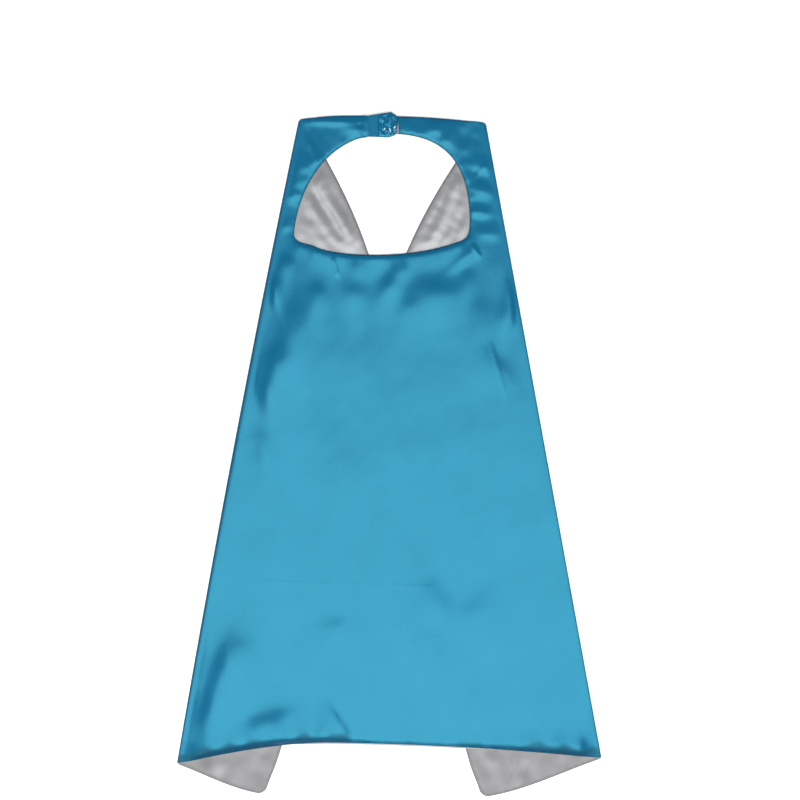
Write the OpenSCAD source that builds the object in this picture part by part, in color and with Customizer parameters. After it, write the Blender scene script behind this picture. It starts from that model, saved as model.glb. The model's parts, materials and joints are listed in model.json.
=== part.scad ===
// Superhero cape, laid flat with both sides folded beneath the back.
// The blue outer satin faces up, and each side's silver lining faces up under the back.
// X runs across the cape, Y from hem to neck, Z up from the surface that it lies on.
// The origin is on that surface, at the middle of the folded cape's box.

/* [Folded outline] */
// Half the width of the folded cape at its hem, to the fold axis
hem_half_w = 230; // [180:1:280]
// Top end of the left fold
left_top = [-97, 366]; // [-150:1:400]
// Height of the left fold's bottom end
left_bottom_y = -337; // [-400:1:-250]
// Top end of the right fold
right_top = [104, 361]; // [-150:1:400]
// Height of the right fold's bottom end
right_bottom_y = -331; // [-400:1:-250]
// How far the hem bows up at its middle
hem_bow = 14; // [0:1:30]

/* [Neck opening] */
// Highest point of the neckline
neck_top = [-2, 349]; // [-50:1:400]
// Leftmost point of the neckline
neck_left = [-104, 243]; // [-150:1:300]
// Rightmost point of the neckline
neck_right = [88, 252]; // [50:1:300]
// Height of the neckline's low edge, where the back begins
neck_bottom_y = 216; // [180:1:240]

/* [Side flaps] */
// Widest part of the left flap, measured square to its fold
left_flap_w = 135; // [90:1:136]
// Widest part of the right flap
right_flap_w = 153; // [100:1:154]
// How much narrower the left flap is at its front corner
left_taper = 36; // [10:1:40]
// How much narrower the right flap is at its front corner
right_taper = 18; // [5:1:30]
// How far the left flap's front corner reaches past the end of its fold
left_drop = 15; // [5:1:20]
// How far the right flap's front corner reaches past the end of its fold
right_drop = 18.6; // [5:0.1:25]
// Radius of the flaps' front corners
corner_r = 9; // [8:1:14]

/* [Neck strap] */
// Where the left strap bends before its sewn end
strap_hinge_x = -21.5; // [-24:0.5:-18]
// Free tip of the left strap
strap_tip_x = 9; // [5:0.5:20]
// Low edge of the strap's end
strap_low_y = 348.6; // [346:0.2:352]
// High edge of the strap's end, away from its raised tip
strap_high_y = 368; // [362:0.5:372]
// Height of the lifted corner at the tip
strap_tip_y = 372; // [368:0.5:376]
// Width of the hook tape and of the loop tape, along the strap
tape_len = 26; // [18:1:26]
// Height of both tapes
tape_h = 16; // [12:1:18]

/* [Cloth] */
// Thickness of one layer of satin
satin = 0.4; // [0.3:0.05:0.6]
// Thickness of the turned-in seam allowance between the layers
seam_t = 0.2; // [0.1:0.05:0.4]
// Width of the seam allowance
seam_w = 6; // [4:0.5:8]
// Thickness of the hook tape and of the loop tape
tape_t = 0.6; // [0.4:0.1:1]
// Clearance between the back and the flaps folded beneath it
fold_gap = 0.3; // [0.2:0.05:0.6]
// Clearance between the meshing faces of the two tapes
tape_gap = 0.1; // [0.05:0.05:0.2]

/* [Stitching] */
// Width of a sewn row
thread_w = 0.5; // [0.3:0.1:0.8]
// Height of a sewn row above the cloth
thread_t = 0.15; // [0.1:0.05:0.3]
// Distance of the tape's box stitching from the tape's edge
tape_stitch_in = 1.5; // [1:0.5:3]
// Length of one stitch
stitch_len = 2.4; // [2:0.1:4]
// Space from one stitch to the next
stitch_space = 0.8; // [0.5:0.1:1.5]

/* [Hidden] */
$fn = 48;

outer_colour = [0.19, 0.62, 0.78];
lining_colour = [0.69, 0.69, 0.71];
seam_colour = [0.12, 0.45, 0.58];
tape_colour = [0.85, 0.86, 0.87];

// Heights of the layers. A flap lies wrong side up, so its lining is its top layer.
cape_t = 2 * satin + seam_t;
flap_seam_z = satin;
flap_lining_z = satin + seam_t;
back_z = cape_t + fold_gap;
back_seam_z = back_z + satin;
back_outer_z = back_seam_z + seam_t;
back_top_z = back_z + cape_t;
loop_top_z = back_top_z + tape_t;
hook_z = loop_top_z + tape_gap;
end_z = hook_z + tape_t;
end_seam_z = end_z + satin;
end_outer_z = end_seam_z + seam_t;
end_top_z = end_z + cape_t;

// Each fold turns about the middle of its own thickness, so an opened flap lies level with the back.
fold_z = back_top_z / 2;
fold_r = back_top_z / 2;
back_edge_in = fold_r + fold_gap;
flap_edge_in = fold_r + 0.05;
fold_end_in = 3;

left_bottom = [-hem_half_w, left_bottom_y];
right_bottom = [hem_half_w, right_bottom_y];
left_len = norm(left_top - left_bottom);
right_len = norm(right_top - right_bottom);
left_turn = -atan2(left_top.x - left_bottom.x, left_top.y - left_bottom.y);
right_turn = atan2(right_bottom.x - right_top.x, right_top.y - right_bottom.y);

// The strap's step up onto the right strap's end
step_x = strap_hinge_x - 6.5;
step_top_x = strap_hinge_x - 2;
strap_end_gap = 0.3;
hinge_r = cape_t / 2;
lip_x = strap_hinge_x - hinge_r - strap_end_gap;

// The end turns about a line just above its outer face, so that it can lie flat on the left strap
hinge_z = end_top_z + strap_end_gap / 2;
right_strap_x = strap_hinge_x + 1.5;
tape_x = right_strap_x + 1;
tape_y = (strap_low_y + strap_high_y - tape_h) / 2;
strap_cut_low_y = 335;
strap_cut_high_y = 380;

// Points along a cubic curve, without its last one, so that curves join end to end
function curve(c, n = 12) =
    [for (i = [0 : n - 1])
        let (t = i / n, s = 1 - t)
        s * s * s * c[0] + 3 * s * s * t * c[1] + 3 * s * t * t * c[2] + t * t * t * c[3]];

// Points along an arc from one angle to another
function arc(centre, r, from, to, n = 6) =
    [for (i = [0 : n]) centre + r * [cos(from + (to - from) * i / n), sin(from + (to - from) * i / n)]];

// The unit direction square to a path at point i, to the left of its run
function square_to(path, i, closed) =
    let (
        n = len(path),
        before = path[closed ? (i + n - 1) % n : max(i - 1, 0)],
        after = path[closed ? (i + 1) % n : min(i + 1, n - 1)],
        run = after - before
    )
    [-run.y, run.x] / norm(run);

// The same path moved sideways, to the left of its run
function beside(path, d, closed = false) =
    [for (i = [0 : len(path) - 1]) path[i] + d * square_to(path, i, closed)];

function reversed(path) = [for (i = [len(path) - 1 : -1 : 0]) path[i]];

// The neckline, anticlockwise from its top
neckline = concat(
    curve([neck_top, neck_top + [-64, 0], neck_left + [6, 50], neck_left], 16),
    curve([neck_left, neck_left + [-2, -11], neck_left + [7, -13], neck_left + [20, -16]], 5),
    curve([neck_left + [20, -16], [-62, neck_bottom_y - 2], [30, neck_bottom_y - 6], neck_right - [6, 18]], 14),
    curve([neck_right - [6, 18], neck_right - [1.5, 15], neck_right - [0, 9], neck_right], 5),
    curve([neck_right, neck_right + [0.5, 66], neck_top + [62, 1], neck_top], 16)
);

// The straps' outer edge between the rounded shoulders, and the whole top edge, from right to left
strap_edge = concat(
    curve([right_top + [-9, 0.5], right_top + [-40, 4], [30, strap_high_y], [-20, strap_high_y]], 10),
    curve([[-20, strap_high_y], [-50, strap_high_y + 1], left_top + [24, 2], left_top + [8, -1]], 8)
);
top_edge = concat(
    curve([right_top + [-2, -5], right_top + [-3, -0.5], right_top + [-6, 0], right_top + [-9, 0.5]], 4),
    strap_edge,
    curve([left_top + [8, -1], left_top + [5, -1.5], left_top + [2, -2], left_top + [1.5, -6]], 4)
);

// The hem, from the left fold to the right one
hem = concat(
    curve([
        left_bottom,
        left_bottom + [60, hem_bow],
        [-110, left_bottom_y + 24],
        [-60, left_bottom_y + 23]
    ]),
    curve([
        [-60, left_bottom_y + 23],
        [60, left_bottom_y + 21],
        right_bottom + [-80, 0.6 * hem_bow],
        right_bottom
    ]),
    [right_bottom]
);

// A flap's front edge and hem, in the plane of its fold: X runs in from the fold, Y up along it from its top
function flap_edge(w, corner, fold_len) =
    let (
        shoulder = [w, -245],
        rim = atan2(corner.y + fold_len, corner.x),
        centre = corner + corner_r * [-1, 1]
    )
    concat(
        curve([[0, 0], [0.39 * w, -55], [w - 2, -155], shoulder], 18),
        curve([shoulder, [w, -400], corner + [17, 120], corner + [corner_r * 0.16, corner_r]], 14),
        arc(centre, corner_r, 0, rim - 90)
    );

left_edge = flap_edge(left_flap_w, [left_flap_w - left_taper, -left_len - left_drop], left_len);
right_edge = flap_edge(right_flap_w, [right_flap_w - right_taper, -right_len - right_drop], right_len);

// A band of the given width along the inside of a path, where the path runs clockwise
module band(path, w) {
    polygon(concat(path, reversed(beside(path, -w))));
}

// Draws in the plane of the left fold, then of the right one
module at_left_fold() {
    translate(left_top) rotate(left_turn) children();
}

module at_right_fold() {
    translate(right_top) rotate(right_turn) mirror([1, 0, 0]) children();
}

// The space that the cloth of the back leaves free beside both folds
module beside_folds(w) {
    reach = 900;
    at_left_fold() translate([w - reach, -reach]) square([reach, 2 * reach]);
    at_right_fold() translate([w - reach, -reach]) square([reach, 2 * reach]);
}

// The break in the neck ring, where the left strap steps up and the right strap starts
module strap_break() {
    translate([step_x, strap_cut_low_y])
        square([right_strap_x - step_x, strap_cut_high_y - strap_cut_low_y]);
}

module back_shape() {
    difference() {
        polygon(concat(top_edge, hem));
        polygon(neckline);
        beside_folds(back_edge_in);
        strap_break();
    }
}

// One layer of the left strap's step, from the level of the back to the level of the strap's end
module strap_step(low, layer_t) {
    rise = end_z - back_z;
    translate([0, strap_high_y, low])
        rotate([90, 0, 0])
            linear_extrude(strap_high_y - strap_low_y)
                polygon([
                    [step_x, 0],
                    [step_top_x, rise],
                    [lip_x, rise],
                    [lip_x, rise + layer_t],
                    [step_top_x - layer_t / 2, rise + layer_t],
                    [step_x, layer_t]
                ]);
}

module back_outer() {
    color(outer_colour) {
        translate([0, 0, back_outer_z]) linear_extrude(satin) back_shape();
        strap_step(back_outer_z, satin);
    }
}

module back_lining() {
    color(lining_colour) {
        translate([0, 0, back_z]) linear_extrude(satin) back_shape();
        strap_step(back_z, satin);
    }
}

module neckline_seam() {
    color(seam_colour)
        translate([0, 0, back_seam_z])
            linear_extrude(seam_t)
                difference() {
                    polygon(beside(neckline, -seam_w, true));
                    polygon(neckline);
                    strap_break();
                }
}

module hem_seam() {
    color(seam_colour)
        translate([0, 0, back_seam_z])
            linear_extrude(seam_t)
                difference() {
                    band(reversed(hem), seam_w);
                    beside_folds(back_edge_in);
                }
}

module strap_seam() {
    color(seam_colour)
        translate([0, 0, back_seam_z])
            linear_extrude(seam_t)
                difference() {
                    band(reversed(strap_edge), seam_w);
                    strap_break();
                }
}

module flap_shape(edge, fold_len, inset) {
    intersection() {
        polygon(concat(edge, [[0, -fold_len]]));
        translate([inset, -2 * fold_len]) square(2 * fold_len);
    }
}

// The blue layer's round turn at the fold, which rests on the edge of the flap's own blue layer
module crease(fold_len) {
    color(outer_colour)
        difference() {
            translate([0, -fold_end_in, fold_z])
                rotate([90, 0, 0])
                    cylinder(r = fold_r, h = fold_len - 2 * fold_end_in);
            translate([-2 * fold_r, -fold_len, -satin]) cube([4 * fold_r, fold_len, 2 * satin]);
        }
}

module flap_outer(edge, fold_len) {
    color(outer_colour) linear_extrude(satin) flap_shape(edge, fold_len, 0);
}

module flap_lining(edge, fold_len) {
    color(lining_colour)
        translate([0, 0, flap_lining_z])
            linear_extrude(satin)
                flap_shape(edge, fold_len, flap_edge_in);
}

module flap_seam(edge, fold_len) {
    color(seam_colour)
        translate([0, 0, flap_seam_z])
            linear_extrude(seam_t)
                intersection() {
                    flap_shape(edge, fold_len, flap_edge_in);
                    band(edge, seam_w);
                }
}

module left_crease() { at_left_fold() crease(left_len); }
module left_flap_outer() { at_left_fold() flap_outer(left_edge, left_len); }
module left_flap_lining() { at_left_fold() flap_lining(left_edge, left_len); }
module left_flap_seam() { at_left_fold() flap_seam(left_edge, left_len); }
module right_crease() { at_right_fold() crease(right_len); }
module right_flap_outer() { at_right_fold() flap_outer(right_edge, right_len); }
module right_flap_lining() { at_right_fold() flap_lining(right_edge, right_len); }
module right_flap_seam() { at_right_fold() flap_seam(right_edge, right_len); }

// The strap's end, with its upper corner lifted at the tip
module strap_end_shape(low_x) {
    polygon([
        [low_x, strap_low_y],
        [strap_tip_x - 1, strap_low_y],
        [strap_tip_x, strap_low_y + 1],
        [strap_tip_x, strap_high_y - 1],
        [strap_tip_x - 7, strap_tip_y],
        [low_x, strap_high_y]
    ]);
}

module strap_end_outer() {
    color(outer_colour) {
        translate([0, 0, end_outer_z]) linear_extrude(satin) strap_end_shape(strap_hinge_x);
        translate([strap_hinge_x, strap_high_y, hinge_z])
            rotate([90, 0, 0])
                cylinder(r = hinge_r, h = strap_high_y - strap_low_y);
    }
}

module strap_end_lining() {
    color(lining_colour)
        translate([0, 0, end_z]) linear_extrude(satin) strap_end_shape(strap_hinge_x + hinge_r + 0.05);
}

module strap_end_seam() {
    color(seam_colour)
        translate([0, 0, end_seam_z])
            linear_extrude(seam_t)
                difference() {
                    strap_end_shape(strap_hinge_x + hinge_r + 0.05);
                    translate([strap_hinge_x - 1, strap_low_y + seam_w])
                        square([strap_tip_x - seam_w - strap_hinge_x, strap_high_y - strap_low_y - 2 * seam_w]);
                }
}

module tape(low) {
    color(tape_colour) translate([tape_x, tape_y, low]) cube([tape_len, tape_h, tape_t]);
}

module loop_tape() { tape(back_top_z); }
module hook_tape() { tape(hook_z); }

// One straight run of stitches along X
module stitch_run(run_len) {
    pitch = stitch_len + stitch_space;
    count = floor((run_len + stitch_space) / pitch);
    start = (run_len - count * pitch + stitch_space) / 2;
    for (i = [0 : count - 1])
        translate([start + i * pitch, -thread_w / 2, 0]) cube([stitch_len, thread_w, thread_t]);
}

// A box of stitches just inside a tape's outline
module box_stitching(low) {
    w = tape_len - 2 * tape_stitch_in;
    h = tape_h - 2 * tape_stitch_in;
    color(seam_colour)
        translate([tape_x + tape_stitch_in, tape_y + tape_stitch_in, low]) {
            stitch_run(w);
            translate([0, h, 0]) stitch_run(w);
            rotate(90) stitch_run(h);
            translate([w, 0, 0]) rotate(90) stitch_run(h);
        }
}

module loop_tape_stitching() { box_stitching(back_z - thread_t); }
module hook_tape_stitching() { box_stitching(end_top_z); }

back_outer();
back_lining();
neckline_seam();
hem_seam();
strap_seam();
loop_tape();
loop_tape_stitching();
left_crease();
left_flap_outer();
left_flap_lining();
left_flap_seam();
right_crease();
right_flap_outer();
right_flap_lining();
right_flap_seam();
strap_end_outer();
strap_end_lining();
strap_end_seam();
hook_tape();
hook_tape_stitching();
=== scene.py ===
import json
import math

import bpy
import numpy as np
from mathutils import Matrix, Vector
from mathutils.geometry import delaunay_2d_cdt
from mathutils.kdtree import KDTree


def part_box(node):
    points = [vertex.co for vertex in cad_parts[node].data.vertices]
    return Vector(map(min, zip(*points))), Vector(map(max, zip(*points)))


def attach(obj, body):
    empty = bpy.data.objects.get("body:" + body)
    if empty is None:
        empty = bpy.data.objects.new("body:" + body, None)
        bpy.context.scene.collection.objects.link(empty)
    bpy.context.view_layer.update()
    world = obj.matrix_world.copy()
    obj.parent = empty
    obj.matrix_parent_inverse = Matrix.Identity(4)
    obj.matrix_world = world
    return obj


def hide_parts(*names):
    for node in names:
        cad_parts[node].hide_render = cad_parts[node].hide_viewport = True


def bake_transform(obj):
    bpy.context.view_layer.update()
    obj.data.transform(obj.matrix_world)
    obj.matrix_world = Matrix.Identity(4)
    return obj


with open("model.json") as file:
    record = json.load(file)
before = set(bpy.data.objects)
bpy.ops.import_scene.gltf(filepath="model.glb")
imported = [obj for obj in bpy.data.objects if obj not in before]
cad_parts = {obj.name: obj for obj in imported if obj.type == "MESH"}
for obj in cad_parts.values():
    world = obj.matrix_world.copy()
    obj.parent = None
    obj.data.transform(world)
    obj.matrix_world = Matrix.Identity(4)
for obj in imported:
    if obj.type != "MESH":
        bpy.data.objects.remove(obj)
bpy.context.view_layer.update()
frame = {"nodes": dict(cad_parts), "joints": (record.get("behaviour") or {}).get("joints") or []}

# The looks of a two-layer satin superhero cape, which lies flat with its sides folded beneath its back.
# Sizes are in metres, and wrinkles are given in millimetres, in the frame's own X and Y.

MM = 0.001

# A point nearer than this to a line is on it, and one further than the other is clear of it
NEAR = 0.1 * MM
CLEAR = 0.3 * MM

# Heights of the cloth, from the CAD layers
BACK_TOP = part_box("loop_tape")[0].z
END_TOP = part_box("hook_tape_stitching")[0].z
END_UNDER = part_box("strap_end_lining")[0].z
LAYER_GAP = 0.85 * MM
FLOOR_Z = -0.4 * MM
FLOOR_HALF = 6.0

# The cloth's meshes. A grid point closer to the outline than the clearance, in spacings, is left out.
OUTER_SPACING = 2.4 * MM
FLAP_SPACING = 3.1 * MM
LINING_SPACING = 4.5 * MM
EDGE_SPACING = 2.2 * MM
FINE_SPACING = 1 * MM
END_SPACING = 0.8 * MM
GRID_CLEARANCE = 0.62
SHARP_TURN = math.radians(40)
SLIVER_AREA = 0.001 * MM**2

# Each fold's outer layer turns with the CAD fold's radius, and its lining turns inside it
TURN_R = BACK_TOP / 2
LINING_TURN_R = 0.3 * MM
TURN_ROWS = 3
FOLD_REACH = 1.6 * MM
FOLD_BOW = 3.4 * MM
SHOULDER_R = 4 * MM
SHOULDER_SPAN = 10 * MM
SHOULDER_CUT = 8 * MM

# The rolled edges, where the outer layer wraps round to the lining
ROLL_R = 0.42 * MM
LINING_ROLL_R = 0.15 * MM
HEM_PEEK = 1.7 * MM
FLAP_ROLL_OUT = 1.0 * MM
FLAP_OUTER_ROLL_OUT = 0.3 * MM
END_ROLL_R = 0.3 * MM
END_LINING_ROLL_OUT = 0.1 * MM
ROLL_TURN = math.radians(150)
ROLL_STEPS = 5

# The seam allowance between the layers, and the sewing
SEAM_INSETS = np.array([6.0, 4.2, 2.5, 0.8]) * MM
SEAM_THREAD_IN = 5 * MM
SEAM_HALF = 0.06 * MM
STITCH = 2.4 * MM
STITCH_SPACE = 0.8 * MM
SEAM_THREAD_R = 0.12 * MM
SEAM_DIP = 0.1 * MM
BOX_THREAD_R = 0.2 * MM
BOX_DIP = 0.2 * MM
BOX_STITCH_IN = 1.5 * MM

# The tapes: a woven base, with a grid of hooks or a pile of loops on it
TAPE_BASE = 0.3 * MM
TAPE_CORNER_R = 1 * MM
TAPE_EDGE_R = 0.12 * MM
HOOK_PITCH = 1.2 * MM
HOOK_MARGIN = 1.4 * MM
HOOK_R = 0.06 * MM
PILE_COUNT = 420
PILE_MARGIN = 0.7 * MM
PILE_R = 0.05 * MM

# The picture's width on the floor, and a softbox from Y -2.1 to 0.3
VIEW_WIDTH = 0.872
CAMERA_PLACE = (0.0117, 0.0589, 3.0)
SOFTBOX_PLACE = (0, -0.9, 2.6)
SOFTBOX_SIZE = (2.6, 2.4)
SOFTBOX_ENERGY = 117

JOINTS = {joint["name"]: joint for joint in frame["joints"]}

# The left strap stops at a cut, and its end starts there and bends over a short length from the hinge
HINGE_X, HINGE_Y = JOINTS["strap_peel"]["pos_m"][:2]
END_START_X = HINGE_X - 0.8 * MM
CAD_CUT_X = HINGE_X - 6.5 * MM
BEND_LENGTH = 3 * MM
TIP_X = 7 * MM
TIP_PEEK = 3 * MM

# Places in the frame's Y that tell the cape's parts apart
ABOVE_HEM = -250 * MM
ABOVE_NECKLINE = 300 * MM
ABOVE_NECK_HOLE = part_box("strap_end_lining")[0].y - 10 * MM
STRAP_MIDDLE = 360 * MM


# ---- outlines ----

def unit(v):
    return np.asarray(v, float) / np.linalg.norm(v)


class Fold:
    """The straight axis of one side fold, seen from above."""

    def __init__(self, joint):
        axis = unit(joint["axis"][:2])
        self.foot = np.array(joint["pos_m"][:2])
        self.z = joint["pos_m"][2]
        self.inward = np.array([axis[1], -axis[0]])
        self.along = axis * np.sign(axis[1])

    def split(self, xy):
        """How far each point lies up along the fold from its foot, and how far in from it."""
        offset = xy - self.foot
        return offset @ self.along, offset @ self.inward


LEFT_FOLD = Fold(JOINTS["left_fold"])
RIGHT_FOLD = Fold(JOINTS["right_fold"])
FOLDS = (LEFT_FOLD, RIGHT_FOLD)


def cad_outline(node):
    """The outline of a flat CAD node's underside, anticlockwise, as 2-D points."""
    mesh = frame["nodes"][node].data
    mesh.calc_loop_triangles()
    co = np.array([v.co for v in mesh.vertices])
    triangles = np.array([t.vertices for t in mesh.loop_triangles])
    level = co[:, 2] < co[:, 2].min() + NEAR
    triangles = triangles[level[triangles].all(axis=1)]
    spots, spot_of = np.unique(np.round(co[:, :2], 7), axis=0, return_inverse=True)
    spot_of = spot_of.reshape(-1)
    edges = set()
    for triangle in spot_of[triangles]:
        edges.update(zip(triangle.tolist(), np.roll(triangle, -1).tolist()))
    return spots[longest_loop(edges)][::-1]


def longest_loop(edges):
    """The corners, in order, of the longest loop among directed edges that no opposite edge cancels."""
    after = {a: b for a, b in edges if (b, a) not in edges}
    best = []
    while after:
        start, here = after.popitem()
        loop = [start]
        while here != start:
            loop.append(here)
            here = after.pop(here)
        if len(loop) > len(best):
            best = loop
    return best


def curve_through(points, spacing):
    """Evenly spaced points along a smooth curve through the given ones, without its last one."""
    steps = np.linalg.norm(np.diff(points, axis=0), axis=1)
    s = np.concatenate([[0], np.cumsum(steps)])
    even = np.linspace(0, s[-1], max(2, round(s[-1] / spacing)) + 1)[:-1]
    if len(points) == 2:
        return points[0] + np.outer(even / s[-1], points[1] - points[0])
    slope = np.gradient(points, s, axis=0)
    i = np.clip(np.searchsorted(s, even, side="right") - 1, 0, len(s) - 2)
    h = (s[i + 1] - s[i])[:, None]
    t = (even - s[i])[:, None] / h
    return (
        (2 * t**3 - 3 * t**2 + 1) * points[i]
        + (t**3 - 2 * t**2 + t) * h * slope[i]
        + (3 * t**2 - 2 * t**3) * points[i + 1]
        + (t**3 - t**2) * h * slope[i + 1]
    )


def even_outline(loop, spacing):
    """The same closed outline with evenly spaced points. Gentle bends are rounded, and sharp corners stay."""
    run = np.roll(loop, -1, axis=0) - loop
    heading = np.arctan2(run[:, 1], run[:, 0])
    turn = np.abs((heading - np.roll(heading, 1) + math.pi) % (2 * math.pi) - math.pi)
    corners = np.flatnonzero(turn > SHARP_TURN)
    parts = []
    for a, b in zip(corners, np.roll(corners, -1)):
        count = (b - a) % len(loop) or len(loop)
        parts.append(curve_through(loop[(a + np.arange(count + 1)) % len(loop)], spacing))
    return np.concatenate(parts)


def outward(loop):
    """The unit direction out of an anticlockwise outline at each of its points."""
    run = np.roll(loop, -1, axis=0) - np.roll(loop, 1, axis=0)
    normal = np.column_stack([run[:, 1], -run[:, 0]])
    return normal / np.maximum(np.linalg.norm(normal, axis=1), 1e-9)[:, None]


def inside(xy, loop):
    """Which points lie inside a closed outline."""
    found = np.zeros(len(xy), bool)
    for (x0, y0), (x1, y1) in zip(loop, np.roll(loop, -1, axis=0)):
        if y0 != y1:
            crosses = (y0 > xy[:, 1]) != (y1 > xy[:, 1])
            found ^= crosses & (xy[:, 0] < x0 + (xy[:, 1] - y0) * (x1 - x0) / (y1 - y0))
    return found


def nearest(xy, path):
    """Each point's distance from a path of closely spaced points, and the number of the nearest one."""
    tree = KDTree(len(path))
    for i, (x, y) in enumerate(path):
        tree.insert((x, y, 0), i)
    tree.balance()
    found = [tree.find((x, y, 0)) for x, y in xy]
    return np.array([f[2] for f in found]), np.array([f[1] for f in found])


# ---- the cape's edges ----

def runs(kept):
    """The numbers of the kept points of a closed outline, as one array for each unbroken run."""
    start = np.flatnonzero(~kept)[0]
    turned = np.roll(kept, -start).astype(int)
    ends = np.flatnonzero(np.diff(np.concatenate([[0], turned, [0]]))).reshape(-1, 2)
    return [(np.arange(a, b) + start) % len(kept) for a, b in ends]


def rounded_shoulder(loop, fold, reach):
    """The same outline with a small round corner where the straps' top edge meets a fold."""
    inward_by = fold.split(loop)[1]
    corner = runs((inward_by < SHOULDER_SPAN) & (loop[:, 1] > ABOVE_NECKLINE))[0]
    rest = np.roll(loop, -corner[-1] - 1, axis=0)[: len(loop) - len(corner)]
    edge = rest[-1:-3:-1] if fold is LEFT_FOLD else rest[:2]
    slope = unit(edge[0] - edge[1])
    gap = fold.split(edge[:1])[1][0] + reach
    meeting = edge[0] + slope * gap / -(slope @ fold.inward)
    low, high = meeting - fold.along * SHOULDER_R, meeting - slope * SHOULDER_R
    t = np.linspace(0, 1, 5)[:, None]
    arc = (1 - t) ** 2 * low + 2 * t * (1 - t) * meeting + t**2 * high
    return np.concatenate([rest, arc[::-1] if fold is LEFT_FOLD else arc])


def back_outline(reach):
    """The back's outline, with its straight sides moved out to the given unrolled distance past each fold's
    axis, and with the left strap run on to just short of the line that its end turns on."""
    loop = cad_outline("back_lining")
    for fold in FOLDS:
        inward_by = fold.split(loop)[1]
        side = inward_by < FOLD_REACH
        loop[side] -= np.outer(inward_by[side] + reach, fold.inward)
    for fold in FOLDS:
        loop = rounded_shoulder(loop, fold, reach)
    cut = (loop[:, 1] > ABOVE_NECK_HOLE) & (np.abs(loop[:, 0] - CAD_CUT_X) < NEAR)
    loop[cut, 0] = END_START_X
    return loop


def flap_outline(node, fold, reach):
    """A flap's outline, with its straight side moved out past the fold's axis in the same way. Its thin top
    corner is cut off, because the back's rounded shoulder doesn't cover it."""
    loop = cad_outline(node)
    along, inward_by = fold.split(loop)
    side = inward_by < FOLD_REACH
    loop[side] -= np.outer(inward_by[side] + reach, fold.inward)
    past = along - (along.max() - SHOULDER_CUT)
    cut = runs(past > 0)[0]
    kept = np.roll(loop, -cut[-1] - 1, axis=0)[: len(loop) - len(cut)]
    for inner, outer in ((cut[0], cut[0] - 1), (cut[-1], (cut[-1] + 1) % len(loop))):
        share = past[inner] / (past[inner] - past[outer])
        crossing = loop[inner] + share * (loop[outer] - loop[inner])
        kept = np.append(kept, [crossing], axis=0)
    return kept


FINE_BACK = even_outline(back_outline(0), FINE_SPACING)
NECK_CENTRE = np.array([-8, 283]) * MM


def edge_kinds(loop):
    """Which points of the back's outline are on a fold, on the hem, round the neck and outside the straps."""
    on_fold = np.any([fold.split(loop)[1] < CLEAR for fold in FOLDS], axis=0)
    hem = ~on_fold & (loop[:, 1] < ABOVE_HEM)
    faces_neck = np.sum(outward(loop) * (NECK_CENTRE - loop), axis=1) > 0
    neck = ~on_fold & ~hem & faces_neck
    return {"fold": on_fold, "hem": hem, "neck": neck, "strap": ~on_fold & ~hem & ~neck}


KINDS = edge_kinds(FINE_BACK)
HEM = FINE_BACK[max(runs(KINDS["hem"]), key=len)]
NECK_LOOP = FINE_BACK[max(runs(KINDS["neck"]), key=len)]
AT_CUT = (np.abs(FINE_BACK[:, 0] - END_START_X) < CLEAR) & (FINE_BACK[:, 1] > ABOVE_NECK_HOLE)
CUT_Y = FINE_BACK[AT_CUT, 1]
NECK = FINE_BACK[KINDS["neck"] & ~AT_CUT]
STRAPS = FINE_BACK[KINDS["strap"] & (np.abs(FINE_BACK[:, 0] - HINGE_X) > BEND_LENGTH)]


def strap_end_outline(pulled_back=0):
    """The outline of the left strap's end, from the strap's cut to its tip. The lower half of the tip may be
    pulled back."""
    loop = cad_outline("strap_end_lining")
    start, tip = loop[:, 0] < HINGE_X + BEND_LENGTH, loop[:, 0] > TIP_X
    low = loop[:, 1] < STRAP_MIDDLE
    loop[start & low, 1] = CUT_Y.min()
    loop[start & ~low, 1] = CUT_Y.max()
    loop[start, 0] = END_START_X
    loop[tip & low, 0] -= pulled_back
    return loop


FINE_END = even_outline(strap_end_outline(), END_SPACING / 2)
END_EDGE = FINE_END[FINE_END[:, 0] > END_START_X + NEAR]
TAPE_LOW, TAPE_HIGH = (np.array(corner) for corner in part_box("loop_tape"))


# ---- wrinkles, in millimetres ----

def soft_step(x, low, high):
    """Rises smoothly from nothing at low to one at high."""
    t = np.clip((x - low) / (high - low), 0, 1)
    return t * t * (3 - 2 * t)


def nearest_mm(xy_m, path):
    """The same as nearest, with the distance in millimetres."""
    away, at = nearest(xy_m, path)
    return away / MM, at


def from_folds(xy_m):
    """How far in from the nearer fold each point lies, in millimetres."""
    return np.min([fold.split(xy_m)[1] for fold in FOLDS], axis=0) / MM


def ripples(xy, size, seed, count=26, stretch=(1, 1)):
    """Smooth random waves about as long as size times the stretch along X and Y, with a spread near one."""
    rng = np.random.default_rng(seed)
    heading = rng.uniform(0, 2 * math.pi, count)
    number = 2 * math.pi / (size * rng.uniform(0.7, 1.6, count))
    phase = rng.uniform(0, 2 * math.pi, count)
    wave_x = number * np.cos(heading) / stretch[0]
    wave_y = number * np.sin(heading) / stretch[1]
    total = np.zeros(len(xy))
    for kx, ky, p in zip(wave_x, wave_y, phase):
        total += np.cos(xy[:, 0] * kx + xy[:, 1] * ky + p)
    return total * math.sqrt(2 / count)


def puckers(along, size, seed, count=14):
    """Smooth random waves along one direction."""
    rng = np.random.default_rng(seed)
    number = 2 * math.pi / (size * rng.uniform(0.6, 1.8, count))
    phase = rng.uniform(0, 2 * math.pi, count)
    return np.cos(np.outer(along, number) + phase).sum(axis=1) * math.sqrt(2 / count)


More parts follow.
